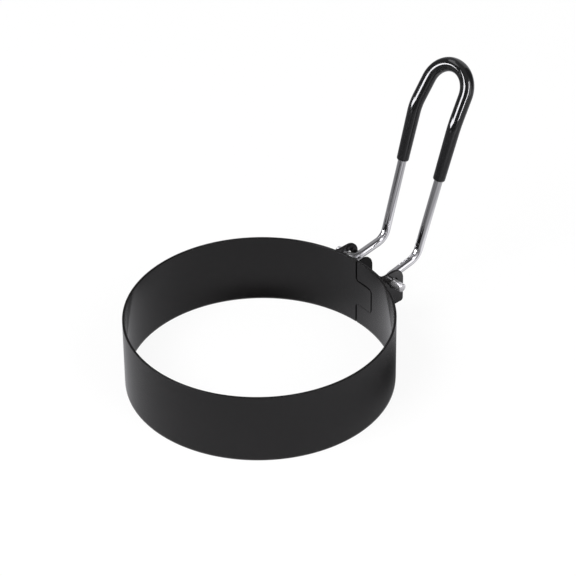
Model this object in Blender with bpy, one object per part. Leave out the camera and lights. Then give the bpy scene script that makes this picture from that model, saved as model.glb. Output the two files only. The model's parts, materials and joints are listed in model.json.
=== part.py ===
"""Egg ring: a rolled non-stick steel band with a wire handle that folds down over it.

The band, the hinge bracket and the stop channel are sheet pieces. Each is drawn as a flat blank,
then formed along a path of straights and bends, as a press and a roller would form it.
The handle is one bent wire, and its loop wears a sleeve of dipped vinyl.

The band's axis is vertical, the handle leans out towards +Y, and the part is alike on both sides
of the plane x = 0, apart from the seam. Sizes are in metres.
"""

import math

import bmesh
import bpy
from mathutils import Matrix, Vector

# Band: a strip rolled to a ring, its ends locked by a tongue in a notch
RING_RADIUS = 0.0450
RING_HEIGHT = 0.0252
BAND_SHEET = 0.0008
TONGUE_LENGTH = 0.0080
TONGUE_BOTTOM = 0.0077
TONGUE_TOP = 0.0171
TONGUE_CORNER = 0.0011
SEAM_GAP = 0.0004
SEAM_TIGHT_GAP = 0.0002

# Hinge bracket: a plate curved to the band, its two ends bent out into ears. The spread is
# from the middle to an ear's outer face, and the drop is from the band's rim to the plate's
WELD_GAP = 0.0003
BRACKET_SHEET = 0.0008
BEND_INNER_RADIUS = 0.0006
BRACKET_DROP = 0.0010
EAR_SPREAD = 0.0114
EAR_ROUND = 0.0046
EAR_FOOT_CORNER = 0.0010
EAR_NECK = 0.0016
EAR_NECK_ROUND = 0.0008
BRACKET_BOTTOM = 0.0098

# Hinge axis: how far it stands off the band, and so from the band's axis, and from the base
HINGE_STANDOFF = 0.0056
HINGE_OUT = RING_RADIUS + HINGE_STANDOFF
HINGE_UP = 0.0190
HINGE_CLEARANCE = 0.0003

# Stop channel: its two flanges stand under the legs and hold the handle out. The ledge is
# from the hinge axis to a flange's end, and the inset from a leg's middle to a flange's face
STOP_SHEET = 0.0008
STOP_INSET = 0.0002
STOP_LEDGE = 0.0080
STOP_BOTTOM = 0.0090
STOP_WEB_DROP = 0.0034
STOP_NECK = 0.0014
STOP_NECK_ROUND = 0.0006
STOP_ROUND = 0.0039
STOP_FOOT_CORNER = 0.0010
STOP_GAP = 0.0003

# Wire handle: pins, lower legs, upper legs, and the loop's arms, each with its slope
WIRE_RADIUS = 0.0015
PIN_OVERHANG = 0.0043
PIN_CHAMFER = 0.0003
LEG_CLEARANCE = 0.0011
LOWER_LEG = 0.0144
UPPER_LEG = 0.0489
LOOP_ARM = 0.0178
LOWER_LEG_SLOPE = math.radians(8.6)
UPPER_LEG_SLOPE = math.radians(71.4)
LOOP_SLOPE = math.radians(57.0)
KNEE_HALF_WIDTH = 0.0078
SHOULDER_HALF_WIDTH = 0.0092
LOOP_TOP_HALF_WIDTH = 0.0079
PIVOT_BEND = 0.0024
KNEE_BEND = 0.0050
SHOULDER_BEND = 0.0200

# Vinyl sleeve on the loop, its lower ends a height above the hinge axis. Its wall swells from
# the ends to the loop's top
GRIP_CLEARANCE = 0.0003
GRIP_WALL = 0.0003
GRIP_SWELL = 0.00035
GRIP_UP = 0.0293
GRIP_LIP = 0.0007
GRIP_EDGE = 0.0001

# How near a crease takes a point for its own, how near a wire's station takes the place of a
# point of its path, and what is too slight a corner to round
SNAP = 0.000001
STATION_SNAP = 0.0001
SLIGHT_TURN = math.radians(0.5)

# How finely round shapes are divided
BAND_SIDES = 180
BEND_STEP = math.radians(15.0)
CORNER_STEPS = 5
WIRE_SIDES = 16
WIRE_BEND_STEP = math.radians(9.0)
LIP_STEPS = 4
DRILL_SIDES = 32

COATED_STEEL = ("coated_steel", (0.030, 0.030, 0.031), 0.38, 0.0)
CHROME = ("chrome", (0.80, 0.80, 0.80), 0.08, 1.0)
BLACK_VINYL = ("black_vinyl", (0.010, 0.010, 0.011), 0.16, 0.0)


def clear_scene():
    """Remove whatever the open file holds."""
    for thing in list(bpy.data.objects):
        bpy.data.objects.remove(thing, do_unlink=True)


def make_material(name, colour, roughness, metallic):
    """Principled material of one colour."""
    material = bpy.data.materials.new(name)
    material.use_nodes = True
    shader = material.node_tree.nodes["Principled BSDF"]
    shader.inputs["Base Color"].default_value = (*colour, 1.0)
    shader.inputs["Roughness"].default_value = roughness
    shader.inputs["Metallic"].default_value = metallic
    return material


def add_object(name, bm, material, parent):
    """Turn a bmesh into a named, smooth-shaded object under its parent."""
    mesh = bpy.data.meshes.new(name)
    bm.to_mesh(mesh)
    bm.free()
    mesh.shade_smooth()
    mesh.set_sharp_from_angle(angle=math.radians(35.0))
    mesh.materials.append(make_material(*material))
    thing = bpy.data.objects.new(name, mesh)
    bpy.context.collection.objects.link(thing)
    thing.parent = parent
    return thing


def add_frame(name, place, parent=None):
    """Empty that carries other objects."""
    frame = bpy.data.objects.new(name, None)
    frame.location = place
    frame.parent = parent
    bpy.context.collection.objects.link(frame)
    return frame


def rounded_corners(corners, step):
    """Points along straight lines whose corners are arcs.

    corners holds (point, radius) pairs. Both ends keep their points, and so does a corner of
    radius zero. An arc has a point at least every step of angle.
    """
    points = [corners[0][0]]
    for before, (corner, radius), after in zip(corners, corners[1:], corners[2:]):
        back = (before[0] - corner).normalized()
        ahead = (after[0] - corner).normalized()
        half = back.angle(ahead) / 2.0
        turn = math.pi - 2.0 * half
        if radius == 0.0 or turn < SLIGHT_TURN:
            points.append(corner)
            continue
        centre = corner + (back + ahead).normalized() * (radius / math.sin(half))
        first = corner + back * (radius / math.tan(half)) - centre
        last = corner + ahead * (radius / math.tan(half)) - centre
        steps = max(2, math.ceil(turn / step))
        for index in range(steps + 1):
            share = index / steps
            spoke = first * math.sin((1.0 - share) * turn) + last * math.sin(share * turn)
            points.append(centre + spoke / math.sin(turn))
    points.append(corners[-1][0])
    return points


# Sheet pieces

def formed_station(along, start, runs):
    """Place and outward normal at a distance along a formed path, seen from above.

    The path sets out from start, at x = 0, towards +X. runs holds (length, bend radius) pairs.
    A positive radius turns left, away from the band, a negative one turns right, round the band,
    and zero goes straight.
    """
    place = Vector((0.0, start))
    heading = 0.0
    left = along
    for index, (length, radius) in enumerate(runs):
        part = left if index == len(runs) - 1 else min(left, length)
        if radius == 0.0:
            place = place + part * Vector((math.cos(heading), math.sin(heading)))
        else:
            centre = place + radius * Vector((-math.sin(heading), math.cos(heading)))
            heading += part / radius
            place = centre - radius * Vector((-math.sin(heading), math.cos(heading)))
        left -= part
        if left <= 0.0:
            break
    return place, Vector((-math.sin(heading), math.cos(heading)))


def bend_lines(runs, step):
    """Distances along a path at which the blank needs a line to bend on."""
    lines = []
    reached = 0.0
    for length, radius in runs:
        steps = 1 if radius == 0.0 else math.ceil(length / abs(radius) / step)
        lines += [reached + length * index / steps for index in range(1, steps + 1)]
        reached += length
    return lines


def formed_sheet(outline, thickness, start, runs, lines):
    """Closed sheet: a flat outline of (along, up) points, creased at lines and bent to its path.

    Negative distances along follow the path's mirror image.
    """
    bm = bmesh.new()
    bm.faces.new([bm.verts.new((point[0], 0.0, point[1])) for point in outline])
    for line in lines:
        bmesh.ops.bisect_plane(bm, geom=bm.verts[:] + bm.edges[:] + bm.faces[:], dist=SNAP,
                               plane_co=(line, 0.0, 0.0), plane_no=(1.0, 0.0, 0.0))
    lifted = bmesh.ops.extrude_face_region(bm, geom=bm.faces[:])["geom"]
    bmesh.ops.translate(bm, vec=(0.0, thickness, 0.0),
                        verts=[item for item in lifted if isinstance(item, bmesh.types.BMVert)])
    bmesh.ops.recalc_face_normals(bm, faces=bm.faces[:])
    for vert in bm.verts:
        along, depth, up = vert.co
        place, normal = formed_station(abs(along), start, runs)
        spot = place + normal * (depth - thickness / 2.0)
        vert.co = (spot.x if along >= 0.0 else -spot.x, spot.y, up)
    return bm


def band_mesh():
    """The band: a long blank with a tongue at one end and its notch at the other."""
    middle = RING_RADIUS - BAND_SHEET / 2.0
    girth = 2.0 * math.pi * middle
    notch_end = SEAM_GAP / 2.0
    tongue_end = girth - SEAM_GAP / 2.0
    notch_floor = TONGUE_LENGTH + SEAM_GAP / 2.0
    notch_top = TONGUE_TOP + SEAM_GAP
    notch_bottom = TONGUE_BOTTOM - SEAM_TIGHT_GAP
    corner = TONGUE_CORNER
    blank = [
        ((notch_end, 0.0), 0.0),
        ((tongue_end, 0.0), 0.0),
        ((tongue_end, TONGUE_BOTTOM), corner),
        ((tongue_end + TONGUE_LENGTH, TONGUE_BOTTOM), corner),
        ((tongue_end + TONGUE_LENGTH, TONGUE_TOP), corner),
        ((tongue_end, TONGUE_TOP), corner + SEAM_GAP),
        ((tongue_end, RING_HEIGHT), 0.0),
        ((notch_end, RING_HEIGHT), 0.0),
        ((notch_end, notch_top), corner),
        ((notch_floor, notch_top), corner + SEAM_GAP),
        ((notch_floor, notch_bottom), corner + SEAM_GAP),
        ((notch_end, notch_bottom), corner),
        ((notch_end, 0.0), 0.0),
    ]
    corners = [(Vector(point), radius) for point, radius in blank]
    outline = rounded_corners(corners, math.pi / 2.0 / CORNER_STEPS)[:-1]
    crease = girth / BAND_SIDES
    lines = [crease * index for index in range(1, math.ceil((girth + TONGUE_LENGTH) / crease))]
    runs = [(girth + TONGUE_LENGTH, -middle)]
    return formed_sheet(outline, BAND_SHEET, middle, runs, lines)


def channel_mesh(inner_radius, sheet, spread, reach, crown, corners):
    """A plate curved round the band whose two ends turn out into flat flanges.

    crown is the plate's (top, corner radius), and corners lists the rest of the +X half's
    outline as ((out, up), radius) pairs, from the neck, past the bend, to the lower free corner.
    """
    middle = inner_radius + sheet / 2.0
    bend = BEND_INNER_RADIUS + sheet / 2.0
    flange_plane = spread - sheet / 2.0
    wrap = math.asin((flange_plane - bend) / (middle + bend))
    flange_start = (middle + bend) * math.cos(wrap)
    runs = [(middle * wrap, -middle), (bend * (math.pi / 2.0 + wrap), bend),
            (reach - flange_start, 0.0)]
    before_flange = runs[0][0] + runs[1][0]
    half = [(Vector((runs[0][0], crown[0])), crown[1])]
    half += [(Vector((before_flange + out - flange_start, up)), radius)
             for (out, up), radius in corners]
    mirrored = [(Vector((-point.x, point.y)), radius) for point, radius in reversed(half)]
    root = (Vector((0.0, crown[0])), 0.0)
    outline = rounded_corners([root, *half, *mirrored, root], math.pi / 2.0 / CORNER_STEPS)[:-1]
    lines = [0.0] + bend_lines(runs[:2], BEND_STEP)
    return formed_sheet(outline, sheet, middle, runs, lines + [-line for line in lines[1:]])


def bracket_mesh():
    """The hinge bracket, before its ears are drilled."""
    top = HINGE_UP + EAR_ROUND
    reach = HINGE_OUT + EAR_ROUND
    crown = (RING_HEIGHT - BRACKET_DROP, EAR_NECK_ROUND)
    corners = [((RING_RADIUS + EAR_NECK, top), EAR_NECK_ROUND),
               ((reach, top), EAR_ROUND),
               ((reach, BRACKET_BOTTOM), EAR_FOOT_CORNER)]
    return channel_mesh(RING_RADIUS + WELD_GAP, BRACKET_SHEET, EAR_SPREAD, reach, crown, corners)


def pivot_half_width():
    """From the middle to a leg's centre line at the hinge, clear of the ear beside it."""
    return EAR_SPREAD - BRACKET_SHEET - LEG_CLEARANCE - WIRE_RADIUS


def pin_reach():
    """From the middle to a pin's cut end, outside its ear."""
    return EAR_SPREAD + PIN_OVERHANG


def stop_mesh():
    """The stop channel: each flange's upper edge runs along the underside of a leg at rest."""
    def seat(out):
        rise = (out - HINGE_OUT) * math.tan(LOWER_LEG_SLOPE)
        return HINGE_UP + rise - (WIRE_RADIUS + STOP_GAP) / math.cos(LOWER_LEG_SLOPE)

    inner_radius = RING_RADIUS + WELD_GAP + BRACKET_SHEET + WELD_GAP
    neck = inner_radius + STOP_SHEET + STOP_NECK
    reach = HINGE_OUT + STOP_LEDGE
    spread = pivot_half_width() - STOP_INSET
    crown = (HINGE_UP - STOP_WEB_DROP, STOP_NECK_ROUND)
    corners = [((neck, seat(neck)), STOP_NECK_ROUND),
               ((reach, seat(reach)), STOP_ROUND),
               ((reach, STOP_BOTTOM), STOP_FOOT_CORNER)]
    return channel_mesh(inner_radius, STOP_SHEET, spread, reach, crown, corners)


def add_drill(name, parent):
    """Guide cylinder along the hinge axis, long enough to pass both ears."""
    bm = bmesh.new()
    radius = WIRE_RADIUS + HINGE_CLEARANCE
    bmesh.ops.create_cone(bm, cap_ends=True, segments=DRILL_SIDES, radius1=radius, radius2=radius,
                          depth=2.0 * pin_reach(), matrix=Matrix.Rotation(math.pi / 2.0, 4, "Y"))
    drill = add_object(name, bm, COATED_STEEL, parent)
    drill.hide_render = True
    drill.display_type = "WIRE"
    return drill


# Handle

def sloped(half_width, start, length, slope):
    """Point at a half width, a length up a slope from a start in the plane x = 0."""
    return Vector((half_width, start.y + length * math.cos(slope),
                   start.z + length * math.sin(slope)))


def handle_corners():
    """Corners of the +X half of the wire, from its pin to the loop's top, about the hinge."""
    hinge = Vector((0.0, 0.0, 0.0))
    knee = sloped(KNEE_HALF_WIDTH, hinge, LOWER_LEG, LOWER_LEG_SLOPE)
    shoulder = sloped(SHOULDER_HALF_WIDTH, knee, UPPER_LEG, UPPER_LEG_SLOPE)
    loop_top = sloped(LOOP_TOP_HALF_WIDTH, shoulder, LOOP_ARM, LOOP_SLOPE)
    lean = math.atan2(SHOULDER_HALF_WIDTH - LOOP_TOP_HALF_WIDTH, LOOP_ARM)
    loop_bend = LOOP_TOP_HALF_WIDTH * math.tan((math.pi / 2.0 + lean) / 2.0)
    return [(Vector((pin_reach(), 0.0, 0.0)), 0.0),
            (Vector((pivot_half_width(), 0.0, 0.0)), PIVOT_BEND),
            (knee, KNEE_BEND),
            (shoulder, SHOULDER_BEND),
            (loop_top, loop_bend),
            (Vector((0.0, loop_top.y, loop_top.z)), 0.0)]


def handle_path():
    """Centre line of the whole wire, from the +X pin to the -X pin."""
    half = rounded_corners(handle_corners(), WIRE_BEND_STEP)[:-1]
    return half + [Vector((-point.x, point.y, point.z)) for point in reversed(half[:-1])]


def distances(path):
    """Distance along the path of each of its points."""
    reached = [0.0]
    for here, there in zip(path, path[1:]):
        reached.append(reached[-1] + (there - here).length)
    return reached


def with_stations(path, places):
    """The path between the first and last of the given distances, with a point at each one."""
    reached = distances(path)
    stations = []
    for place in places:
        index = max(i for i, distance in enumerate(reached[:-1]) if distance <= place)
        share = (place - reached[index]) / (reached[index + 1] - reached[index])
        stations.append((place, path[index].lerp(path[index + 1], share)))
    inner = [(distance, point) for distance, point in zip(reached, path)
             if places[0] < distance < places[-1]
             and all(abs(distance - place) > STATION_SNAP for place in places)]
    return [point for _, point in sorted(stations + inner, key=lambda station: station[0])]


def cross_sections(path, radii):
    """One circle of points round each point of the path, turned with as little twist as it can."""
    side = Vector((0.0, 0.0, 1.0))
    sections = []
    for index, (point, radius) in enumerate(zip(path, radii)):
        ahead = (path[min(index + 1, len(path) - 1)] - path[max(index - 1, 0)]).normalized()
        side = (side - ahead * side.dot(ahead)).normalized()
        up = ahead.cross(side)
        angles = [2.0 * math.pi * step / WIRE_SIDES for step in range(WIRE_SIDES)]
        sections.append([point + radius * (side * math.cos(a) + up * math.sin(a)) for a in angles])
    return sections


def skin(bm, sections, closed):
    """Faces between neighbouring sections, and round to the first again or capped at the ends."""
    rings = [[bm.verts.new(point) for point in section] for section in sections]
    pairs = list(zip(rings, rings[1:]))
    if closed:
        pairs.append((rings[-1], rings[0]))
    else:
        bm.faces.new(rings[0][::-1])
        bm.faces.new(rings[-1])
    for near, far in pairs:
        for index in range(WIRE_SIDES):
            after = (index + 1) % WIRE_SIDES
            bm.faces.new([near[index], near[after], far[after], far[index]])


def wire_mesh():
    """The chromed wire, its two cut ends chamfered."""
    whole = handle_path()
    length = distances(whole)[-1]
    path = with_stations(whole, [0.0, PIN_CHAMFER, length - PIN_CHAMFER, length])
    tip = WIRE_RADIUS - PIN_CHAMFER
    radii = [tip] + [WIRE_RADIUS] * (len(path) - 2) + [tip]
    bm = bmesh.new()
    skin(bm, cross_sections(path, radii), closed=False)
    return bm


def grip_mesh():
    """The vinyl sleeve: a tube round the wire, stoutest at the top, its two ends rounded."""
    whole = handle_path()
    length = distances(whole)[-1]
    start = along_to_height(whole, GRIP_UP)
    bore = WIRE_RADIUS + GRIP_CLEARANCE
    turns = [math.pi / 2.0 * step / LIP_STEPS for step in range(LIP_STEPS + 1)]
    places = [start + GRIP_LIP * (1.0 - math.cos(a)) for a in turns]
    path = with_stations(whole, places + [length - place for place in reversed(places)])
    lip = [math.sin(a) for a in turns]
    rises = lip + [1.0] * (len(path) - 2 * len(lip)) + lip[::-1]
    reached = distances(path)
    walls = [GRIP_WALL + GRIP_SWELL * math.sin(math.pi * place / reached[-1]) for place in reached]
    radii = [bore + GRIP_EDGE + (wall - GRIP_EDGE) * rise for wall, rise in zip(walls, rises)]
    outside = cross_sections(path, radii)
    inside = cross_sections(path, [bore] * len(path))
    bm = bmesh.new()
    skin(bm, outside + inside[::-1], closed=True)
    return bm


def along_to_height(path, height):
    """Distance along the path at which it first reaches a height."""
    reached = distances(path)
    above = next(index for index, point in enumerate(path) if point.z > height)
    low = path[above - 1]
    share = (height - low.z) / (path[above].z - low.z)
    return reached[above - 1] + share * (reached[above] - reached[above - 1])


def handle_reach():
    """How far the loop's outer edge stands out from the hinge axis at rest."""
    return handle_corners()[-1][0].y + WIRE_RADIUS + GRIP_CLEARANCE + GRIP_WALL + GRIP_SWELL


def build():
    """Make the whole object, centred on the origin and standing on z = 0."""
    clear_scene()
    front = HINGE_OUT + handle_reach()
    base = add_frame("egg_ring_frame", (0.0, (RING_RADIUS - front) / 2.0, 0.0))
    hinge = add_frame("hinge_axis", (0.0, HINGE_OUT, HINGE_UP), base)
    add_object("ring_band", band_mesh(), COATED_STEEL, base)
    bracket = add_object("hinge_bracket", bracket_mesh(), COATED_STEEL, base)
    drilling = bracket.modifiers.new("pin_holes", "BOOLEAN")
    drilling.object = add_drill("pin_hole_drill", hinge)
    drilling.operation = "DIFFERENCE"
    add_object("stop_channel", stop_mesh(), COATED_STEEL, base)
    add_object("handle_wire", wire_mesh(), CHROME, hinge)
    add_object("loop_grip", grip_mesh(), BLACK_VINYL, hinge)


build()
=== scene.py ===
import json
import math

import bpy
import numpy as np
from mathutils import Matrix, Vector


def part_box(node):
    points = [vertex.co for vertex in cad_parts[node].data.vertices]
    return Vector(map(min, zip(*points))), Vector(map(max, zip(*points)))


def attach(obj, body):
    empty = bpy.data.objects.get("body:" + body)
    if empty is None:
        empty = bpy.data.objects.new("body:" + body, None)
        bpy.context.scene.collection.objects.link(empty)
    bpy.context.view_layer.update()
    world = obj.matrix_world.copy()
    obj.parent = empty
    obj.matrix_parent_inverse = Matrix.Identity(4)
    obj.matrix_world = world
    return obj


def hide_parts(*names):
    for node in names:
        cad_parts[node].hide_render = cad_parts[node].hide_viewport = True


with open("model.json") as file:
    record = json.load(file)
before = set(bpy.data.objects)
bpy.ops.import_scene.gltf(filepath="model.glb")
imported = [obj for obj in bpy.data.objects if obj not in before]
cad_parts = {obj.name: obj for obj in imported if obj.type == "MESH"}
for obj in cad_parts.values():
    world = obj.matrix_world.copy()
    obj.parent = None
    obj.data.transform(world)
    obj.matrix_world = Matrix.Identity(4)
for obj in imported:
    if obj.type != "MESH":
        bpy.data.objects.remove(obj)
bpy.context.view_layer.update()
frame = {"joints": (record.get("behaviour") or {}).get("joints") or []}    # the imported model, which nothing below moves

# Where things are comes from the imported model, in metres
bandLow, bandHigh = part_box("ring_band")
bandRadius = (bandHigh.x - bandLow.x) / 2.0
bandHeight = bandHigh.z - bandLow.z
bandAxis = Vector((0.0, (bandLow.y + bandHigh.y) / 2.0, bandLow.z))
hinge = Vector(frame["joints"][0]["pos_m"])
print("frame loaded: band radius", round(bandRadius, 5), "height", round(bandHeight, 5))


# Camera, floor and light

camera = {
    "azimuth": 47.5,          # degrees round from looking along +Y
    "elevation": 35.463,      # degrees above the floor
    "roll": 0.649,            # degrees that the picture leans
    "right": 0.2109,          # the aim's offset from the band's foot, in band radii
    "up": 0.6469,
    "distance": 22.2915,      # in band radii
    "focalPixels": 3015.8,    # focal length in pixels of the photograph
    "photoPixels": 576,
    "sensor": 36.0,           # millimetres
    "clipStart": 0.05,
    "clipEnd": 20.0,
}


def placeCamera():
    # The camera looks down at the band from its azimuth and elevation, then rolls about its own axis
    azimuth, elevation, roll = (math.radians(camera[key]) for key in ("azimuth", "elevation", "roll"))
    right = Vector((math.cos(azimuth), math.sin(azimuth), 0.0))
    ahead = Vector((-math.sin(azimuth) * math.cos(elevation), math.cos(azimuth) * math.cos(elevation),
                    -math.sin(elevation)))
    up = right.cross(ahead)
    place = bandAxis + bandRadius * (camera["right"] * right + camera["up"] * up
                                     - camera["distance"] * ahead)
    rolledRight = math.cos(roll) * right - math.sin(roll) * up
    rolledUp = math.sin(roll) * right + math.cos(roll) * up
    data = bpy.data.cameras.new("photoCamera")
    data.sensor_width = camera["sensor"]
    data.lens = camera["focalPixels"] / camera["photoPixels"] * camera["sensor"]
    data.clip_start = camera["clipStart"]
    data.clip_end = camera["clipEnd"]
    thing = bpy.data.objects.new("photoCamera", data)
    turn = Matrix((rolledRight, rolledUp, -ahead)).transposed().to_4x4()
    thing.matrix_world = Matrix.Translation(place) @ turn
    bpy.context.scene.collection.objects.link(thing)
    bpy.context.scene.camera = thing


studio = {
    "floorSize": 8.0,
    "floorColour": (0.90, 0.90, 0.90),
    "floorGlow": 0.90,        # share of the floor's look that is plain white; the rest takes shadows
    "skyLight": 0.45,         # what the white surroundings give as light
    "skyColour": (0.97, 0.965, 1.0),
    "lampDistance": 1.6,
    "cardDistance": 3.0,
    "cardStep": 0.05,         # what each order adds to a card's distance, as a share of it
    "cardRows": 24,
    "lowCardHeight": 0.0005,
    "lowCardTurns": 96,       # steps round a floor shade
    "lowCardRings": 48,
}

# Lamps: azimuth and elevation of each as seen from the object, size across and up, and power
lamps = {
    "keyLamp": {"azimuth": -3.0, "elevation": 50.0, "width": 0.9, "height": 0.7, "power": 20.0},
    "sideLamp": {"azimuth": 91.0, "elevation": 40.0, "width": 0.6, "height": 0.8, "power": 10.0},
}

# Cards that only reflections see, standing round the object: the elevations of the bottom and the top,
# the azimuths of the left and right edges at those, and the brightness, where the white surroundings
# have one. A smaller order stands nearer
cards = {
    "frontCard": {"elevations": (-9, 60), "left": (-42, -42), "right": (60, 60), "level": 0.10, "order": 2},
    "leftCard": {"elevations": (-9, 60), "left": (-105, -105), "right": (-42, -42), "level": 0.18,
                 "order": 2},
    "farLeftCard": {"elevations": (-9, 60), "left": (-135, -135), "right": (-105, -105), "level": 0.42,
                    "order": 2},
    "rightCard": {"elevations": (-12, 48), "left": (100, 100), "right": (124, 124), "level": 1.9,
                  "order": 2},
    "backCard": {"elevations": (-9, 75), "left": (124, 124), "right": (185, 185), "level": 0.12, "order": 2},
    "topCard": {"elevations": (60, 90), "left": (-180, -180), "right": (180, 180), "level": 0.35,
                "order": 3},
    "frontWindow": {"elevations": (19, 45), "left": (-20, -36), "right": (8, -2), "level": 24.0,
                    "order": 1},
    "lowWindow": {"elevations": (8, 20), "left": (-42, -38), "right": (-20, 4), "level": 24.0, "order": 1},
    "frontGlow": {"elevations": (2, 6), "left": (-14, -14), "right": (12, 12), "level": 1.1, "order": 1},
    "sideWindow": {"elevations": (12, 55), "left": (62, 92), "right": (73, 105), "level": 26.0, "order": 1},
    "highGlow": {"elevations": (42, 57), "left": (-100, -100), "right": (-46, -46), "level": 2.2, "order": 1},
}

# Shades of the floor that only reflections see: an even grey with soft patches. Each patch has the
# azimuth of its middle and its spread in degrees, the distance of its middle from the band's, its reach
# as the natural logarithm of a ratio of distances, and what it adds to the grey
floorShades = {
    "outerFloor": {
        "nearest": 0.0451,
        "farthest": 3.5,
        "level": 0.48,
        "patches": {
            "hingeShadow": {"azimuth": 138.0, "spread": 38.0, "distance": 0.052,
                            "reach": 0.35, "adds": -0.45},
            "backShine": {"azimuth": 155.0, "spread": 22.0, "distance": 0.095,
                          "reach": 0.20, "adds": 0.8},
            "openBack": {"azimuth": 180.0, "spread": 45.0, "distance": 0.5,
                         "reach": 1.5, "adds": 0.5},
            "frontShade": {"azimuth": -10.0, "spread": 55.0, "distance": 0.5,
                           "reach": 1.3, "adds": -0.35},
            "leftShade": {"azimuth": -90.0, "spread": 30.0, "distance": 0.1,
                          "reach": 1.5, "adds": -0.15},
            "sideShine": {"azimuth": 95.0, "spread": 20.0, "distance": 0.3,
                          "reach": 0.4, "adds": 1.0},
        },
    },
    "innerFloor": {
        "nearest": 0.001,
        "farthest": 0.0441,
        "level": 0.40,
        "patches": {
            "wallShadow": {"azimuth": -135.0, "spread": 25.0, "distance": 0.044,
                           "reach": 0.2, "adds": -0.40},
            "backShine": {"azimuth": 180.0, "spread": 25.0, "distance": 0.044,
                          "reach": 0.2, "adds": 0.25},
        },
    },
}


def direction(azimuth, elevation):
    # Unit vector towards an azimuth, counted as the camera's is, and an elevation
    a, e = math.radians(azimuth), math.radians(elevation)
    return Vector((math.sin(a) * math.cos(e), -math.cos(a) * math.cos(e), math.sin(e)))


def buildSurroundings():
    # World: plain white to the eye and in reflections, and a softer level as light
    world = bpy.data.worlds.new("surroundings")
    bpy.context.scene.world = world
    world.use_nodes = True
    tree = world.node_tree
    tree.nodes.clear()
    output = tree.nodes.new("ShaderNodeOutputWorld")
    seen = tree.nodes.new("ShaderNodeBackground")
    seen.inputs["Color"].default_value = (*studio["skyColour"], 1.0)
    light = tree.nodes.new("ShaderNodeBackground")
    light.inputs["Color"].default_value = (1.0, 1.0, 1.0, 1.0)
    light.inputs["Strength"].default_value = studio["skyLight"]
    mix = tree.nodes.new("ShaderNodeMixShader")
    tree.links.new(raysThatSee(tree), mix.inputs[0])
    tree.links.new(light.outputs[0], mix.inputs[1])
    tree.links.new(seen.outputs[0], mix.inputs[2])
    tree.links.new(mix.outputs[0], output.inputs["Surface"])


def raysThatSee(tree):
    # One for camera, glossy and transmission rays, and zero for the rest
    path = tree.nodes.new("ShaderNodeLightPath")
    first = tree.nodes.new("ShaderNodeMath")
    first.operation = "MAXIMUM"
    second = tree.nodes.new("ShaderNodeMath")
    second.operation = "MAXIMUM"
    tree.links.new(path.outputs["Is Camera Ray"], first.inputs[0])
    tree.links.new(path.outputs["Is Glossy Ray"], first.inputs[1])
    tree.links.new(first.outputs[0], second.inputs[0])
    tree.links.new(path.outputs["Is Transmission Ray"], second.inputs[1])
    return second.outputs[0]


def floorMaterial():
    material = bpy.data.materials.new("paleFloor")
    material.use_nodes = True
    tree = material.node_tree
    tree.nodes.clear()
    output = tree.nodes.new("ShaderNodeOutputMaterial")
    matt = tree.nodes.new("ShaderNodeBsdfDiffuse")
    matt.inputs["Color"].default_value = (*studio["floorColour"], 1.0)
    glow = tree.nodes.new("ShaderNodeEmission")
    glow.inputs["Color"].default_value = (1.0, 1.0, 1.0, 1.0)
    share = tree.nodes.new("ShaderNodeMath")
    share.operation = "MULTIPLY"
    share.inputs[1].default_value = studio["floorGlow"]
    tree.links.new(raysThatSee(tree), share.inputs[0])
    mix = tree.nodes.new("ShaderNodeMixShader")
    tree.links.new(share.outputs[0], mix.inputs[0])
    tree.links.new(matt.outputs[0], mix.inputs[1])
    tree.links.new(glow.outputs[0], mix.inputs[2])
    tree.links.new(mix.outputs[0], output.inputs["Surface"])
    return material


def flatPatch(name, middle, across, up, material):
    # A rectangle about a middle point, spanned by two vectors
    mesh = bpy.data.meshes.new(name)
    corners = [middle - across - up, middle + across - up, middle + across + up, middle - across + up]
    mesh.from_pydata([tuple(corner) for corner in corners], [], [(0, 1, 2, 3)])
    mesh.materials.append(material)
    thing = bpy.data.objects.new(name, mesh)
    bpy.context.scene.collection.objects.link(thing)


def buildFloor():
    half = studio["floorSize"] / 2.0
    flatPatch("paleFloor", Vector((0.0, 0.0, bandLow.z)), Vector((half, 0.0, 0.0)),
              Vector((0.0, half, 0.0)), floorMaterial())


def buildLamps():
    aim = Vector((0.0, 0.0, bandHeight))
    for name, lamp in lamps.items():
        data = bpy.data.lights.new(name, "AREA")
        data.shape = "RECTANGLE"
        data.size = lamp["width"]
        data.size_y = lamp["height"]
        data.energy = lamp["power"]
        thing = bpy.data.objects.new(name, data)
        thing.visible_glossy = False
        towards = direction(lamp["azimuth"], lamp["elevation"])
        thing.matrix_world = (Matrix.Translation(aim + towards * studio["lampDistance"])
                              @ towards.to_track_quat("Z", "Y").to_matrix().to_4x4())
        bpy.context.scene.collection.objects.link(thing)


def addCard(name, points, levels):
    # A grid of points that gives glossy rays a glow of the levels at its points, and nothing else
    material = bpy.data.materials.new(name)
    material.use_nodes = True
    tree = material.node_tree
    shader = tree.nodes["Principled BSDF"]
    shader.inputs["Base Color"].default_value = (0.0, 0.0, 0.0, 1.0)
    shader.inputs["Specular IOR Level"].default_value = 0.0
    shader.inputs["Emission Color"].default_value = (*studio["skyColour"], 1.0)
    glow = tree.nodes.new("ShaderNodeAttribute")
    glow.attribute_name = "glow"
    tree.links.new(glow.outputs["Fac"], shader.inputs["Emission Strength"])
    mesh = bpy.data.meshes.new(name)
    mesh.from_pydata(points.reshape(-1, 3).tolist(), [], gridFaces(*points.shape[:2]).tolist())
    mesh.materials.append(material)
    attribute = mesh.attributes.new("glow", "FLOAT", "POINT")
    attribute.data.foreach_set("value", np.broadcast_to(levels, points.shape[:2]).ravel().astype(np.float32))
    thing = bpy.data.objects.new(name, mesh)
    thing.visible_camera = False
    thing.visible_diffuse = False
    thing.visible_shadow = False
    bpy.context.scene.collection.objects.link(thing)


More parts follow.
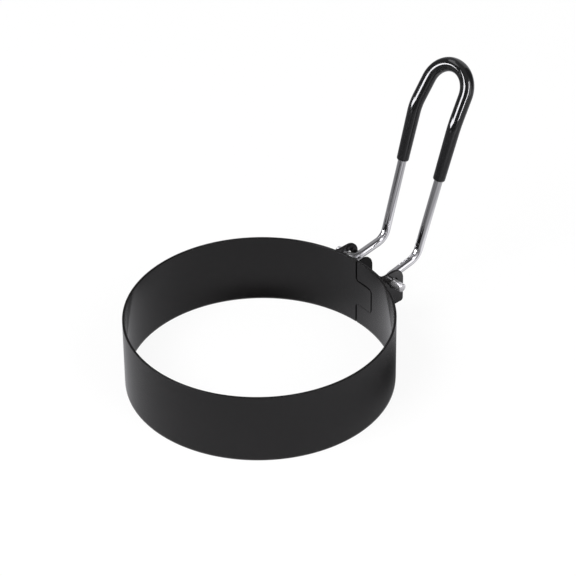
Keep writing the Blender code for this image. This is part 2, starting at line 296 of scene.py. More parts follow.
def buildCards():
    # Standing cards are patches of spheres round the object
    rows = studio["cardRows"]
    share = np.linspace(0.0, 1.0, rows)[:, None]
    for name, card in cards.items():
        elevation, left, right = (np.radians(np.linspace(*card[key], rows))
                                  for key in ("elevations", "left", "right"))
        azimuth = left + (right - left) * share
        distance = studio["cardDistance"] * (1.0 + studio["cardStep"] * card["order"])
        addCard(name, distance * np.stack(
            [np.sin(azimuth) * np.cos(elevation), -np.cos(azimuth) * np.cos(elevation),
             np.broadcast_to(np.sin(elevation), azimuth.shape)], axis=-1), card["level"])


def buildFloorShades():
    # Rings lying round the band's middle. A patch is a bell curve of the azimuth from its middle times
    # one of the logarithm of distance over its middle's, and the patches add up on the grey
    turn = np.linspace(-180.0, 180.0, studio["lowCardTurns"] + 1)[:, None]
    for name, shade in floorShades.items():
        radii = np.geomspace(shade["nearest"], shade["farthest"], studio["lowCardRings"])
        levels = np.full((len(turn), len(radii)), shade["level"])
        for patch in shade["patches"].values():
            aside = (turn - patch["azimuth"] + 180.0) % 360.0 - 180.0
            away = np.log(radii / patch["distance"])
            levels += patch["adds"] * np.exp(-(aside / patch["spread"]) ** 2 - (away / patch["reach"]) ** 2)
        angle = np.radians(turn)
        addCard(name, np.stack([radii * np.sin(angle), bandAxis.y - radii * np.cos(angle),
                                np.full(levels.shape, bandLow.z + studio["lowCardHeight"])], axis=-1),
                np.maximum(levels, 0.0))


def gridFaces(rows, columns, firstPoint=0):
    # Quads of a grid whose points run row by row
    corner = (np.arange(rows - 1)[:, None] * columns + np.arange(columns - 1)).ravel() + firstPoint
    return np.stack([corner, corner + columns, corner + columns + 1, corner + 1], axis=1)


# Materials

coating = {
    "colour": (0.0052, 0.0048, 0.0049),
    "paleColour": (0.0066, 0.0062, 0.0062),
    "roughness": (0.08, 0.13),
    "specular": 0.5,
    "patchScale": 45.0,       # colour and roughness patches, per metre
    "patchDetail": 3.0,
    "peelScale": 1500.0,      # the coat's orange peel, per metre
    "peelDepth": 0.000004,
}

# The stop's coat is the band's coat made darker and less glossy: painted shade on the stop
stopPaintedShadeCoat = {
    "colour": (0.002, 0.0019, 0.002),
    "paleColour": (0.003, 0.0029, 0.003),
    "roughness": (0.10, 0.15),
    "specular": 0.12,
    "patchScale": 45.0,
    "patchDetail": 3.0,
    "peelScale": 1500.0,
    "peelDepth": 0.000004,
}

# Cut edges of the sheet, where the coat is thin and dull
cutEdge = {
    "colour": (0.0045, 0.0042, 0.0043),
    "paleColour": (0.006, 0.0056, 0.0056),
    "roughness": (0.40, 0.50),
    "specular": 0.10,
    "patchScale": 400.0,
    "patchDetail": 3.0,
    "peelScale": 3000.0,
    "peelDepth": 0.000004,
}

chrome = {
    "colour": (0.58, 0.575, 0.585),
    "roughness": (0.03, 0.08),
    # painted shade: the colour the plate is darkened to at its bends, and how much rougher it is there
    "paintedShadeColour": (0.10, 0.099, 0.102),
    "paintedShadeDullness": 0.35,
    "wornDullness": 0.08,
    "wornMetal": 0.75,
    "lineScale": 2600.0,      # drawing lines round the wire, per metre
    "lineStretch": (1.0, 1.0, 0.04),        # the lines' scale across the wire, twice, and along it
    "lineDepth": 0.0000015,
}

vinyl = {
    "colour": (0.006, 0.006, 0.0065),
    "roughness": (0.06, 0.12),
    "waveScale": 160.0,       # slow waves of the dipped skin, per metre
    "waveDetail": 1.0,
    "waveDepth": 0.000012,
}

# The middle of a noise's values, which is spread over the whole of a range
noiseMiddle = (0.33, 0.67)


def startMaterial(name, colour, metallic):
    material = bpy.data.materials.new(name)
    material.use_nodes = True
    shader = material.node_tree.nodes["Principled BSDF"]
    shader.inputs["Base Color"].default_value = (*colour, 1.0)
    shader.inputs["Metallic"].default_value = metallic
    return material, material.node_tree, shader


def addNoise(tree, source, scale, detail=2.0, stretch=(1.0, 1.0, 1.0)):
    # Noise over a coordinate, with the coordinate scaled along each axis first
    mapping = tree.nodes.new("ShaderNodeMapping")
    mapping.inputs["Scale"].default_value = stretch
    noise = tree.nodes.new("ShaderNodeTexNoise")
    noise.inputs["Scale"].default_value = scale
    noise.inputs["Detail"].default_value = detail
    tree.links.new(source, mapping.inputs["Vector"])
    tree.links.new(mapping.outputs["Vector"], noise.inputs["Vector"])
    return noise.outputs["Fac"]


def addRange(tree, value, low, high, target):
    # The noise's middle values spread from low to high
    spread = tree.nodes.new("ShaderNodeMapRange")
    spread.inputs["From Min"].default_value = noiseMiddle[0]
    spread.inputs["From Max"].default_value = noiseMiddle[1]
    spread.inputs["To Min"].default_value = low
    spread.inputs["To Max"].default_value = high
    tree.links.new(value, spread.inputs["Value"])
    tree.links.new(spread.outputs["Result"], target)


def addBump(tree, height, depth, shader):
    bump = tree.nodes.new("ShaderNodeBump")
    bump.inputs["Distance"].default_value = depth
    bump.inputs["Strength"].default_value = 1.0
    tree.links.new(height, bump.inputs["Height"])
    tree.links.new(bump.outputs["Normal"], shader.inputs["Normal"])


def blendColours(tree, first, second, share, target):
    # From the first colour to the second as the share goes from zero to one
    mix = tree.nodes.new("ShaderNodeMix")
    mix.data_type = "RGBA"
    mix.inputs["A"].default_value = (*first, 1.0)
    mix.inputs["B"].default_value = (*second, 1.0)
    tree.links.new(share, mix.inputs["Factor"])
    tree.links.new(mix.outputs["Result"], target)


def coatedSteel(name, coat):
    # Charcoal coat: slow patches of shade and gloss, and a fine orange peel
    material, tree, shader = startMaterial(name, coat["colour"], 0.0)
    shader.inputs["Specular IOR Level"].default_value = coat["specular"]
    place = tree.nodes.new("ShaderNodeTexCoord").outputs["Object"]
    patches = addNoise(tree, place, coat["patchScale"], coat["patchDetail"])
    blendColours(tree, coat["colour"], coat["paleColour"], patches, shader.inputs["Base Color"])
    addRange(tree, patches, *coat["roughness"], shader.inputs["Roughness"])
    addBump(tree, addNoise(tree, place, coat["peelScale"]), coat["peelDepth"], shader)
    return material


def readAttribute(tree, name):
    node = tree.nodes.new("ShaderNodeAttribute")
    node.attribute_name = name
    return node


def blend(tree, low, high, share, target):
    # From low to high as the share goes from zero to one
    spread = tree.nodes.new("ShaderNodeMapRange")
    spread.inputs["To Min"].default_value = low
    spread.inputs["To Max"].default_value = high
    tree.links.new(share, spread.inputs["Value"])
    tree.links.new(spread.outputs["Result"], target)


def chromedWire():
    # Bright plate over a drawn wire: fine lines along the wire, read from the wire's own coordinates.
    # It is worn where the wire turns in its hinge. At its bends it carries painted shade, and is duller there
    material, tree, shader = startMaterial("chromedWire", chrome["colour"], 1.0)
    lines = addNoise(tree, readAttribute(tree, "grain").outputs["Vector"], chrome["lineScale"],
                     stretch=chrome["lineStretch"])
    worn = readAttribute(tree, "worn").outputs["Fac"]
    paintedBendShade = readAttribute(tree, "paintedBendShade").outputs["Fac"]
    # Painted shade: the plate's colour darkens where the bend mask is set
    blendColours(tree, chrome["colour"], chrome["paintedShadeColour"], paintedBendShade, shader.inputs["Base Color"])
    blend(tree, 1.0, chrome["wornMetal"], worn, shader.inputs["Metallic"])
    dull = tree.nodes.new("ShaderNodeMath")
    dull.operation = "ADD"
    blend(tree, 0.0, chrome["paintedShadeDullness"], paintedBendShade, dull.inputs[0])
    blend(tree, 0.0, chrome["wornDullness"], worn, dull.inputs[1])
    gloss = tree.nodes.new("ShaderNodeMath")
    gloss.operation = "ADD"
    tree.links.new(dull.outputs[0], gloss.inputs[0])
    addRange(tree, lines, *chrome["roughness"], gloss.inputs[1])
    tree.links.new(gloss.outputs[0], shader.inputs["Roughness"])
    addBump(tree, lines, chrome["lineDepth"], shader)
    return material


def dippedVinyl():
    # Glossy black skin with slow waves left by dipping
    material, tree, shader = startMaterial("dippedVinyl", vinyl["colour"], 0.0)
    place = tree.nodes.new("ShaderNodeTexCoord").outputs["Object"]
    waves = addNoise(tree, place, vinyl["waveScale"], vinyl["waveDetail"])
    addRange(tree, waves, *vinyl["roughness"], shader.inputs["Roughness"])
    addBump(tree, waves, vinyl["waveDepth"], shader)
    return material


# Sheet pieces: a flat blank of quads is thickened with rounded edges, then bent along its path

def roundedLine(corners, radii, arcSteps, straightSteps):
    # Corners joined by straights and by arcs of the given radii, with a set number of points on each
    corners = np.array(corners, float)
    pieces = []
    start = corners[0]
    for before, corner, after, radius in zip(corners, corners[1:], corners[2:], radii):
        back = (before - corner) / np.linalg.norm(before - corner)
        ahead = (after - corner) / np.linalg.norm(after - corner)
        half = math.acos(float(np.clip(back @ ahead, -1.0, 1.0))) / 2.0
        centre = corner + (back + ahead) / np.linalg.norm(back + ahead) * radius / math.sin(half)
        first = corner + back * radius / math.tan(half) - centre
        last = corner + ahead * radius / math.tan(half) - centre
        turn = math.pi - 2.0 * half
        share = np.linspace(0.0, 1.0, arcSteps + 1)[:, None]
        arc = centre + (first * np.sin((1.0 - share) * turn) + last * np.sin(share * turn)) / math.sin(turn)
        pieces.append(start + (arc[0] - start) * np.linspace(0.0, 1.0, straightSteps + 1)[:-1, None])
        pieces.append(arc[:-1])
        start = arc[-1]
    pieces.append(start + (corners[-1] - start) * np.linspace(0.0, 1.0, straightSteps + 1)[:, None])
    return np.concatenate(pieces)


def distancesAlong(line):
    # How far along a line each of its points is
    return np.concatenate([[0.0], np.cumsum(np.linalg.norm(np.diff(line, axis=0), axis=1))])


def thickened(flat, quads, sheet, edgeRadius, edgeSteps):
    # Two faces half a sheet either side of the blank, and between them, along every free edge,
    # a profile of two quarter circles. Returns points and normals as (along, depth, up), and quads
    count = len(flat)
    directed = np.stack([quads, np.roll(quads, -1, axis=1)], axis=2).reshape(-1, 2)
    forward = directed[:, 0] * count + directed[:, 1]
    backward = directed[:, 1] * count + directed[:, 0]
    free = directed[~np.isin(forward, backward)]
    outward = flat[free[:, 1]] - flat[free[:, 0]]
    outward = np.stack([outward[:, 1], -outward[:, 0]], axis=1)
    outward /= np.linalg.norm(outward, axis=1)[:, None]
    arriving, leaving = np.zeros((2, count, 2))
    leaving[free[:, 0]] = outward
    arriving[free[:, 1]] = outward
    miter = (arriving + leaving) / (1.0 + np.sum(arriving * leaving, axis=1))[:, None]
    edge = free[:, 0]
    onEdge = np.full(count, -1)
    onEdge[edge] = np.arange(len(edge))
    inset = flat - miter * edgeRadius
    angle = np.linspace(math.pi / 2.0, 0.0, edgeSteps + 1)[1:]
    outs = np.concatenate([np.cos(angle), np.cos(angle[::-1])])
    lifts = np.concatenate([np.sin(angle), -np.sin(angle[::-1])])
    core = np.concatenate([np.ones(edgeSteps), -np.ones(edgeSteps)]) * (sheet / 2.0 - edgeRadius)
    rim = inset[edge][:, None, :] + miter[edge][:, None, :] * (edgeRadius * outs)[None, :, None]
    rimDepth = np.broadcast_to(core + edgeRadius * lifts, rim.shape[:2])
    front = np.stack([inset[:, 0], np.full(count, sheet / 2.0), inset[:, 1]], axis=1)
    back = front * (1.0, -1.0, 1.0)
    strip = np.stack([rim[..., 0], rimDepth, rim[..., 1]], axis=-1)
    points = np.concatenate([front, back, strip.reshape(-1, 3)])
    plain = np.broadcast_to((0.0, 1.0, 0.0), (count, 3))
    unit = miter[edge] / np.linalg.norm(miter[edge], axis=1)[:, None]
    stripNormal = np.stack([unit[:, None, 0] * outs, np.broadcast_to(lifts, rim.shape[:2]),
                            unit[:, None, 1] * outs], axis=-1)
    normals = np.concatenate([plain, -plain, stripNormal.reshape(-1, 3)])
    levels = 2 * edgeSteps
    stripPoint = 2 * count + onEdge[:, None] * levels + np.arange(levels)
    ladder = np.concatenate([np.arange(count)[:, None], stripPoint, count + np.arange(count)[:, None]],
                            axis=1)
    near, far = ladder[free[:, 0]], ladder[free[:, 1]]
    walls = np.stack([near[:, :-1], far[:, :-1], far[:, 1:], near[:, 1:]], axis=2).reshape(-1, 4)
    faces = np.concatenate([quads[:, ::-1], quads + count, walls])
    return points, normals, faces


def bent(points, normals, start, runs):
    # A point's place is where the path has got to at its distance along, moved out along the path's
    # left-hand normal by its depth. Each run is a length and a bend radius, zero for a straight.
    # What lies left of the middle follows the path's mirror image
    side = np.where(points[:, 0] < 0.0, -1.0, 1.0)
    left = np.abs(points[:, 0])
    x, y = np.zeros_like(left), np.full_like(left, start)
    heading = np.zeros_like(left)
    for index, (length, radius) in enumerate(runs):
        part = left if index == len(runs) - 1 else np.minimum(left, length)
        if radius == 0.0:
            x = x + part * np.cos(heading)
            y = y + part * np.sin(heading)
        else:
            turned = heading + part / radius
            x = x + radius * (np.sin(turned) - np.sin(heading))
            y = y - radius * (np.cos(turned) - np.cos(heading))
            heading = turned
        left = left - part
    depth = points[:, 1]
    places = np.stack([side * (x - np.sin(heading) * depth), y + np.cos(heading) * depth,
                       points[:, 2]], axis=1)
    along = normals[:, 0] * side
    facing = np.stack([side * (along * np.cos(heading) - normals[:, 1] * np.sin(heading)),
                       along * np.sin(heading) + normals[:, 1] * np.cos(heading), normals[:, 2]], axis=1)
    return places, facing


def addPiece(name, points, faces, material, body, node):
    # A piece at the origin with its place in its mesh, riding on its body in place of its CAD node
    mesh = bpy.data.meshes.new(name)
    mesh.from_pydata(points.tolist(), [], faces)
    mesh.materials.append(material)
    mesh.shade_smooth()
    thing = bpy.data.objects.new(name, mesh)
    bpy.context.scene.collection.objects.link(thing)
    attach(thing, body)
    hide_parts(node)
    print(name, len(mesh.polygons), "faces")
    return thing


def addSheetPiece(name, blank, quads, sizes, start, runs, coats, node):
    # The two faces take the first coat, and the edges between them the second
    points, normals, faces = thickened(blank, quads, sizes["sheet"], sizes["edgeRadius"],
                                       sizes["edgeSteps"])
    places, facing = bent(points, normals, start, runs)
    places[:, 1] += bandAxis.y
    facing /= np.linalg.norm(facing, axis=1)[:, None]
    thing = addPiece(name, places, faces.tolist(), coats[0], "ring", node)
    thing.data.materials.append(coats[1])
    onEdge = np.arange(len(faces)) >= 2 * len(quads)
    thing.data.polygons.foreach_set("material_index", onEdge.astype(np.int32))
    thing.data.normals_split_custom_set_from_vertices(facing.tolist())


band = {
    "sheet": 0.0008,
    "edgeRadius": 0.00022,
    "edgeSteps": 4,
    "tongueLength": 0.0080,
    "tongueBottom": 0.0077,
    "tongueTop": 0.0171,
    "corner": 0.0011,
    "gap": 0.0004,            # across the seam's upright stretches and above the tongue
    "tightGap": 0.00003,      # below the tongue
    "hook": 0.0006,           # by which the radii of its lower corners differ, so that no gap is left
    "notchStretch": 0.0120,   # the stretches beside the notch and the tongue where the rows fan out
    "tongueStretch": 0.0040,
    "endColumns": 12,
    "columns": 270,
    "arcSteps": 6,
    "straightSteps": 8,
}


def driftedHeights(outline, turns, low, high):
    # Row heights in step with the distance along an outline, low and high at two of its arcs' middles
    travelled = distancesAlong(outline)
    middles = (band["straightSteps"] + band["arcSteps"]) * np.array(turns)
    middles += band["straightSteps"] + band["arcSteps"] // 2
    return np.interp(travelled, [0.0, *travelled[middles], travelled[-1]], [0.0, low, high, bandHeight])


def buildBand(coats):
    # One grid from the notch's edge to the tongue's: its rows start on the one outline, run round
    # the band at heights that drift slowly, and end on the other outline
    middle = bandRadius - band["sheet"] / 2.0
    girth = 2.0 * math.pi * middle
    gap, corner, reach = band["gap"], band["corner"], band["tongueLength"]
    notchEnd, tongueEnd = gap / 2.0, girth - gap / 2.0
    notchLow, notchHigh = band["tongueBottom"] - band["tightGap"], band["tongueTop"] + gap
    floor = notchEnd + reach
    notch = roundedLine([(notchEnd, 0.0), (notchEnd, notchLow), (floor, notchLow), (floor, notchHigh),
                         (notchEnd, notchHigh), (notchEnd, bandHeight)],
                        [corner - band["hook"], corner + band["hook"], corner + gap, corner],
                        band["arcSteps"], band["straightSteps"])
    low, high = band["tongueBottom"], band["tongueTop"]
    tip = tongueEnd + reach
    tongue = roundedLine([(tongueEnd, 0.0), (tongueEnd, low), (tip, low), (tip, high),
                          (tongueEnd, high), (tongueEnd, bandHeight)],
                         [corner, corner, corner, corner + gap],
                         band["arcSteps"], band["straightSteps"])
    # Rows reach the notch's lower and upper sides at the corners of its floor, and the tongue's where it
    # joins the band
    rows = len(notch)
    nearNotch = driftedHeights(notch, (1, 2), notchLow, notchHigh)
    nearTongue = driftedHeights(tongue, (0, 3), low, high)
    fan = 1.0 - np.cos(np.linspace(0.0, math.pi / 2.0, band["endColumns"] + 1))
    notchLine = np.stack([np.full(rows, band["notchStretch"]), nearNotch], axis=1)
    tongueLine = np.stack([np.full(rows, girth - gap - band["tongueStretch"]), nearTongue], axis=1)
    stretch = np.linspace(0.0, 1.0, band["columns"] + 1)[1:-1]
    grid = np.concatenate([
        notch[None] + (notchLine - notch)[None] * fan[:, None, None],
        notchLine[None] + (tongueLine - notchLine)[None] * stretch[:, None, None],
        tongue[None] + (tongueLine - tongue)[None] * fan[::-1, None, None]])
    quads = gridFaces(len(grid), rows)
    addSheetPiece("rolledBand", grid.reshape(-1, 2), quads, band, middle, [(tip, -middle)],
                  coats, "ring_band")


plates = {
    "weldGap": 0.0003,
    "mergeDecimals": 8,       # points that agree to so many decimals of a metre are one
    "bendRadius": 0.0006,     # inside the bend
}

bracket = {
    "sheet": 0.0008,
    "edgeRadius": 0.00022,
    "edgeSteps": 4,
    "drop": 0.0010,           # the plate's rim below the band's
    "spread": 0.0114,         # middle to an ear's outer face
    "round": 0.0046,          # ear's end, about the hinge
    "footCorner": 0.0010,
    "neck": 0.0016,
    "neckRound": 0.0008,
    "bottom": 0.0098,
    "holeRadius": 0.0018,
    "plateColumns": 24,
    "bendColumns": 8,
    "rows": 16,
    "rings": (0.0, 0.12, 0.35, 0.65, 0.88, 1.0),    # shares of the way from the hole to the outline
    "arcSteps": 12,
    "straightSteps": 8,
    "columnSnap": 0.0001,     # outline points nearer the flange than this add no column
    "flangeSnap": 0.00001,    # outline points farther than this past the flange's start are the ear's
}

stop = {
    "sheet": 0.0008,
    "edgeRadius": 0.00022,
    "edgeSteps": 4,
    "spread": 0.0078,
    "ledge": 0.0080,          # hinge axis to the flange's end
    "bottom": 0.0090,
    "webDrop": 0.0034,        # hinge axis to the web's top
    "neck": 0.0014,
    "neckRound": 0.0006,
    "round": 0.0039,
    "footCorner": 0.0010,
    "seatGap": 0.0003,
    "plateColumns": 16,
    "bendColumns": 8,
    "rows": 12,
    "arcSteps": 10,
    "straightSteps": 8,
    "columnDecimals": 7,      # columns that agree to so many decimals of a metre are one
}


def channelRuns(innerRadius, sizes):
    # The path of half a channel: round the band, out through the bend, and along the flange.
    # Also how far out the flange starts, and the distance along at which it does
    middle = innerRadius + sizes["sheet"] / 2.0
    bend = plates["bendRadius"] + sizes["sheet"] / 2.0
    wrap = math.asin((sizes["spread"] - sizes["sheet"] / 2.0 - bend) / (middle + bend))
    flangeOut = (middle + bend) * math.cos(wrap)
    runs = [(middle * wrap, -middle), (bend * (math.pi / 2.0 + wrap), bend), (0.0, 0.0)]
    return middle, runs, flangeOut, runs[0][0] + runs[1][0]


def mirroredColumns(grid):
    # The left half's columns before the right half's, sharing the middle one
    return np.concatenate([(grid * (-1.0, 1.0))[:0:-1], grid])


def mergedBlank(patches):
    # Patches of points and quads as one blank, with points that coincide made one
    points = np.concatenate([patch[0] for patch in patches])
    offsets = np.cumsum([0] + [len(patch[0]) for patch in patches[:-1]])
    quads = np.concatenate([patch[1] + offset for patch, offset in zip(patches, offsets)])
    _, first, place = np.unique(np.round(points, plates["mergeDecimals"]), axis=0,
                                return_index=True, return_inverse=True)
    return points[first], place.reshape(-1)[quads]


def buildBracket(coats):
    # The plate is a grid between its lower and upper edges. Each ear is a ruled grid between its
    # hole's circle and its outline, which shares the plate's last column
    middle, runs, flangeOut, flangeStart = channelRuns(bandRadius + plates["weldGap"], bracket)
    hingeOut = hinge.y - bandAxis.y
    top, reach = hinge.z + bracket["round"], hingeOut + bracket["round"] - flangeOut + flangeStart
    crown = bandHeight - bracket["drop"]
    neck = bandRadius + bracket["neck"] - flangeOut + flangeStart
    outline = roundedLine([(0.0, crown), (runs[0][0], crown), (neck, top), (reach, top),
                           (reach, bracket["bottom"]), (flangeStart, bracket["bottom"])],
                          [bracket["neckRound"], bracket["neckRound"], bracket["round"],
                           bracket["footCorner"]],
                          bracket["arcSteps"], bracket["straightSteps"])
    edge = outline[:np.argmax(outline[:, 0])]
    columns = np.unique(np.concatenate([np.linspace(0.0, runs[0][0], bracket["plateColumns"] + 1),
                                        np.linspace(runs[0][0], flangeStart, bracket["bendColumns"] + 1),
                                        edge[edge[:, 0] < flangeStart - bracket["columnSnap"],
                                             0]]))
    upper = np.interp(columns, edge[:, 0], edge[:, 1])
    share = np.linspace(0.0, 1.0, bracket["rows"] + 1)
    heights = bracket["bottom"] + (upper - bracket["bottom"])[:, None] * share
    plate = np.stack([np.broadcast_to(columns[:, None], heights.shape), heights], axis=-1)
    whole = mirroredColumns(plate)
    patches = [(whole.reshape(-1, 2), gridFaces(len(whole), len(share)))]
    beyond = outline[outline[:, 0] > flangeStart + bracket["flangeSnap"]]
    loop = np.concatenate([plate[-1], beyond, plate[-1, :1]])
    centre = np.array([hingeOut - flangeOut + flangeStart, hinge.z])
    spoke = loop - centre
    circle = centre + spoke / np.linalg.norm(spoke, axis=1)[:, None] * bracket["holeRadius"]
    rings = np.array(bracket["rings"])[:, None, None]
    ear = circle[None] + (loop - circle)[None] * rings
    quads = gridFaces(len(rings), len(loop))
    patches.append((ear.reshape(-1, 2), quads[:, ::-1]))
    patches.append(((ear * (-1.0, 1.0)).reshape(-1, 2), quads))
    blank, quads = mergedBlank(patches)
    addSheetPiece("hingeBracket", blank, quads, bracket, middle, runs, coats, "hinge_bracket")


def buildStop(coats, wireRadius, slope):
    # One grid between the channel's lower and upper edges. The upper edge of each flange runs along
    # the underside of a leg
    inner = bandRadius + 2.0 * plates["weldGap"] + bracket["sheet"]
    middle, runs, flangeOut, flangeStart = channelRuns(inner, stop)
    hingeOut = hinge.y - bandAxis.y

    def seat(out):
        return (hinge.z + (out - hingeOut) * math.tan(slope)
                - (wireRadius + stop["seatGap"]) / math.cos(slope))

    web = hinge.z - stop["webDrop"]
    neckOut, reachOut = inner + stop["sheet"] + stop["neck"], hingeOut + stop["ledge"]
    neck, reach = (out - flangeOut + flangeStart for out in (neckOut, reachOut))
    outline = roundedLine([(0.0, web), (runs[0][0], web), (neck, seat(neckOut)), (reach, seat(reachOut)),
                           (reach, stop["bottom"]), (0.0, stop["bottom"])],
                          [stop["neckRound"], stop["neckRound"], stop["round"], stop["footCorner"]],
                          stop["arcSteps"], stop["straightSteps"])
    turnPoint = np.argmax(outline[:, 0])
    lastPoint = len(outline) - 1 - np.argmax(outline[::-1, 0])
    above, below = outline[:turnPoint + 1], outline[lastPoint:][::-1]
    columns = np.unique(np.round(np.concatenate([
        np.linspace(0.0, runs[0][0], stop["plateColumns"] + 1),
        np.linspace(runs[0][0], flangeStart, stop["bendColumns"] + 1), above[:, 0],
        below[below[:, 0] > flangeStart, 0]]), stop["columnDecimals"]))
    share = np.linspace(0.0, 1.0, stop["rows"] + 1)
    lower = np.interp(columns, below[:, 0], below[:, 1])
    upper = np.interp(columns, above[:, 0], above[:, 1])
    heights = lower[:, None] + (upper - lower)[:, None] * share
    half = np.stack([np.broadcast_to(columns[:, None], heights.shape), heights], axis=-1)
    whole = mirroredColumns(half)
    addSheetPiece("stopChannel", whole.reshape(-1, 2), gridFaces(len(whole), len(share)), stop,
                  middle, runs, coats, "stop_channel")


# Handle: one wire and its dipped grip, each a section carried along the same path

wire = {
    "radius": 0.0015,
    "sides": 32,
    "step": 0.00012,          # between sections
    "pinOverhang": 0.0043,    # pin beyond its ear
    "tipRound": 0.0003,
    "legClearance": 0.0011,   # leg beside its ear
    "lowerLeg": 0.0144,
    "upperLeg": 0.0489,
    "loopArm": 0.0178,
    "lowerSlope": 8.6,        # degrees
    "upperSlope": 71.4,
    "loopSlope": 57.0,
    "kneeHalfWidth": 0.0078,
    "shoulderHalfWidth": 0.0092,
    "loopHalfWidth": 0.0079,
    "pivotBend": 0.0024,
    "kneeBend": 0.0050,
    "shoulderBend": 0.0200,
    "creases": (0.0200, 0.0214, 0.0226),    # along from a tip: where bending left a mark in each knee
    "creaseDepth": 0.00002,
    "creaseLength": 0.0011,
    "creaseGlint": 0.00022,   # half-length of the spot on each mark that the painted shade leaves out
    "glintFalloff": 4,        # exponent: how squarely the spot ends along the wire
    "glintNarrow": 8,         # exponent: how closely it keeps to the inside of the bend
    "darkBends": (0.0080, 0.0214),          # middle of each bend where the plate gets painted shade
    "darkReach": 0.0022,
    "darkFalloff": 4,         # exponent: how squarely the painted shade ends along the wire
    "darkFacing": (30.0, 35.0),             # azimuth and elevation that the plate faces where it gets painted shade
    "darkStart": 0.55,        # cosine of the angle to that direction at which the painted shade sets in
    "darkSlope": 4.0,         # how fast it deepens with the cosine
    "wornLength": 0.0062,     # from each tip, and then fading out
    "wornFade": 0.0025,
    "legShare": 0.3,          # the slope is read where the wire is off the pins' line by more than this
    "arcSteps": 48,
    "straightSteps": 60,
    "tipSteps": 5,
    "sharpAngle": 40.0,       # degrees
    "pointSnap": 0.0000001,   # path points nearer than this are one
}

grip = {
    "radius": 0.0021,         # at its ends
    "swell": 0.00034,         # what the loop's top adds to it
    "sides": 48,
    "step": 0.00025,
    "start": 0.0293,          # height of its lower ends above the hinge
    "lip": 0.0007,
    "shut": 0.00003,          # room left round the wire
    "lipSteps": 9,
}


def handleCorners():
    # Corners and bend radii of the right-hand half of the wire, from its pin to the loop's top
    pivot = bracket["spread"] - bracket["sheet"] - wire["legClearance"] - wire["radius"]
    lengths = np.array([wire["lowerLeg"], wire["upperLeg"], wire["loopArm"]])
    slopes = np.radians([wire["lowerSlope"], wire["upperSlope"], wire["loopSlope"]])
    out = hinge.y + np.concatenate([[0.0], np.cumsum(lengths * np.cos(slopes))])
    up = hinge.z + np.concatenate([[0.0], np.cumsum(lengths * np.sin(slopes))])
    widths = [pivot, wire["kneeHalfWidth"], wire["shoulderHalfWidth"], wire["loopHalfWidth"]]
    lean = math.atan2(widths[2] - widths[3], wire["loopArm"])
    topBend = widths[3] * math.tan((math.pi / 2.0 + lean) / 2.0)
    pin = bracket["spread"] + wire["pinOverhang"]
    corners = [(pin, out[0], up[0])] + list(zip(widths, out, up)) + [(0.0, out[-1], up[-1])]
    return corners, [wire["pivotBend"], wire["kneeBend"], wire["shoulderBend"], topBend]


def handlePath():
    # Points of the whole wire's centre line, close together, and the distance travelled to each
    corners, radii = handleCorners()
    half = roundedLine(corners, radii, wire["arcSteps"], wire["straightSteps"])
    apart = np.linalg.norm(np.diff(half, axis=0), axis=1) > wire["pointSnap"]
    half = half[np.concatenate([[True], apart])]
    path = np.concatenate([half, (half * (-1.0, 1.0, 1.0))[-2::-1]])
    return path, distancesAlong(path)


def sweep(path, travelled, stations, radii, sides):
    # Sections round the path at the given distances: each point is the centre line's place plus its
    # radius times cos(angle) along the lean and sin(angle) along the line's cross product with it.
    # The lean stands square to the wire in the plane of the legs, so the section never twists
    place = np.stack([np.interp(stations, travelled, path[:, axis]) for axis in range(3)], axis=1)
    tangent = np.gradient(path, travelled, axis=0)
    ahead = np.stack([np.interp(stations, travelled, tangent[:, axis]) for axis in range(3)], axis=1)
    ahead /= np.linalg.norm(ahead, axis=1)[:, None]
    onLeg = np.hypot(tangent[:, 1], tangent[:, 2]) > wire["legShare"]
    slope = np.arctan2(np.abs(tangent[onLeg, 2]), np.abs(tangent[onLeg, 1]))
    slope = np.interp(stations, travelled[onLeg], slope)
    lean = np.stack([np.zeros_like(slope), -np.sin(slope), np.cos(slope)], axis=1)
    lean -= ahead * np.sum(lean * ahead, axis=1)[:, None]
    lean /= np.linalg.norm(lean, axis=1)[:, None]
    across = np.cross(ahead, lean)
    angle = np.linspace(0.0, 2.0 * math.pi, sides, endpoint=False)
    spokes = (lean[:, None, :] * np.cos(angle)[None, :, None]
              + across[:, None, :] * np.sin(angle)[None, :, None])
    radii = np.broadcast_to(radii, (sides, len(stations))).T if np.ndim(radii) == 1 else radii
    points = place[:, None, :] + spokes * radii[:, :, None]
    grain = np.stack([radii * np.cos(angle), radii * np.sin(angle),
                      np.broadcast_to(stations[:, None], radii.shape)], axis=-1)
    return points, grain


def tubeFaces(count, sides, closed=False):
    # Quads between neighbouring sections of a tube, and from the last to the first if it closes
    near = np.arange(count if closed else count - 1)[:, None] * sides
    far = (near + sides) % (count * sides)
    this = np.arange(sides)
    after = (this + 1) % sides
    return np.stack([near + this, near + after, far + after, far + this], axis=2).reshape(-1, 4)


def setGrain(thing, grain):
    attribute = thing.data.attributes.new("grain", "FLOAT_VECTOR", "POINT")
    attribute.data.foreach_set("vector", grain.reshape(-1).astype(np.float32))


def setShare(thing, name, share):
    attribute = thing.data.attributes.new(name, "FLOAT", "POINT")
    attribute.data.foreach_set("value", share.reshape(-1).astype(np.float32))


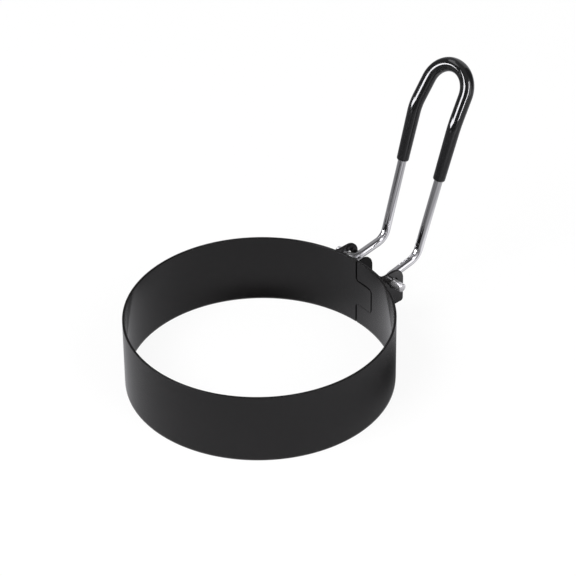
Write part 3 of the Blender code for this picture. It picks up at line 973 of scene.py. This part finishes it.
def buildWire(material):
    path, travelled = handlePath()
    length = travelled[-1]
    turn = np.linspace(0.0, math.pi / 2.0, wire["tipSteps"] + 1)
    tips = wire["tipRound"] * (1.0 - np.cos(turn))
    tipRadii = wire["radius"] - wire["tipRound"] * (1.0 - np.sin(turn))
    body = np.linspace(tips[-1], length - tips[-1], round(length / wire["step"]))[1:-1]
    stations = np.concatenate([tips, body, length - tips[::-1]])
    radii = np.concatenate([tipRadii, np.full(len(body), wire["radius"]), tipRadii[::-1]])
    # Painted shade darkens the plate at each bend of the legs, on the side facing one way. Inside the knees
    # there are marks that swell by a bell curve along the wire, and the painted shade leaves a spot on top of
    # each
    sides, count = wire["sides"], len(stations)
    fromTip = np.minimum(stations, length - stations)
    inner = np.maximum(np.cos(np.linspace(0.0, 2.0 * math.pi, sides, endpoint=False)), 0.0)[None, :]
    marks = np.abs(fromTip[:, None] - np.array(wire["creases"])).min(axis=1)
    swell = np.exp(-(2.0 * marks / wire["creaseLength"]) ** 2)
    swelled = radii[:, None] + wire["creaseDepth"] * swell[:, None] * inner ** 2
    plain, _ = sweep(path, travelled, stations, radii, sides)
    spokes = (plain - plain.mean(axis=1, keepdims=True)) / wire["radius"]
    facing = spokes @ np.array(direction(*wire["darkFacing"]))
    fromBend = np.abs(fromTip[:, None] - np.array(wire["darkBends"])) / wire["darkReach"]
    bends = np.exp(-fromBend ** wire["darkFalloff"]).max(axis=1)
    glint = np.exp(-(marks / wire["creaseGlint"]) ** wire["glintFalloff"])
    # The mask of painted shade: at the bends, on the side facing one way, less on the marks' spots
    paintedBendShade = (bends[:, None] * np.clip(wire["darkSlope"] * (facing - wire["darkStart"]), 0.0, 1.0)
              * (1.0 - glint[:, None] * inner ** wire["glintNarrow"]))
    points, grain = sweep(path, travelled, stations, swelled, sides)
    faces = tubeFaces(count, sides).tolist()
    faces.append(list(range(sides))[::-1])
    faces.append(list(range((count - 1) * sides, count * sides)))
    thing = addPiece("bentWire", points.reshape(-1, 3), faces, material, "handle",
                     "handle_wire")
    thing.data.set_sharp_from_angle(angle=math.radians(wire["sharpAngle"]))
    setGrain(thing, grain)
    worn = np.clip(1.0 - (fromTip - wire["wornLength"]) / wire["wornFade"], 0.0, 1.0)
    setShare(thing, "worn", np.repeat(worn, sides))
    setShare(thing, "paintedBendShade", paintedBendShade)


def buildGrip(material):
    # The skin's outside, shut down onto the wire by a quarter ellipse at each end, and its bore
    path, travelled = handlePath()
    length = travelled[-1]
    start = np.interp(hinge.z + grip["start"], path[:len(path) // 2, 2], travelled[:len(path) // 2])
    bore = wire["radius"] + grip["shut"]
    turn = np.linspace(0.0, math.pi / 2.0, grip["lipSteps"] + 1)
    lips = start + grip["lip"] * (1.0 - np.cos(turn))
    body = np.linspace(lips[-1], length - lips[-1], round((length - 2.0 * start) / grip["step"]))[1:-1]
    outside = np.concatenate([lips, body, length - lips[::-1]])
    inside = np.linspace(length - start, start, len(outside) // 2)[1:-1]
    rise = np.concatenate([np.sin(turn), np.ones(len(body)), np.sin(turn[::-1])])
    share = (outside - start) / (length - 2.0 * start)
    skin = grip["radius"] + grip["swell"] * np.sin(math.pi * share) - bore
    radii = np.concatenate([bore + skin * rise, np.full(len(inside), bore)])
    stations = np.concatenate([outside, inside])
    points, _ = sweep(path, travelled, stations, radii, grip["sides"])
    faces = tubeFaces(len(stations), grip["sides"], closed=True).tolist()
    addPiece("dippedGrip", points.reshape(-1, 3), faces, material, "handle",
             "loop_grip")


placeCamera()
buildSurroundings()
buildFloor()
buildLamps()
buildCards()
buildFloorShades()
print("studio ready")
steel = (coatedSteel("coatedSteel", coating), coatedSteel("cutEdge", cutEdge))
buildBand(steel)
buildBracket(steel)
# The stop's faces take the coat that is darkened as painted shade
buildStop((coatedSteel("stopPaintedShadeCoat", stopPaintedShadeCoat), steel[1]), wire["radius"],
          math.radians(wire["lowerSlope"]))
buildWire(chromedWire())
buildGrip(dippedVinyl())
bpy.context.scene.view_settings.view_transform = "Standard"
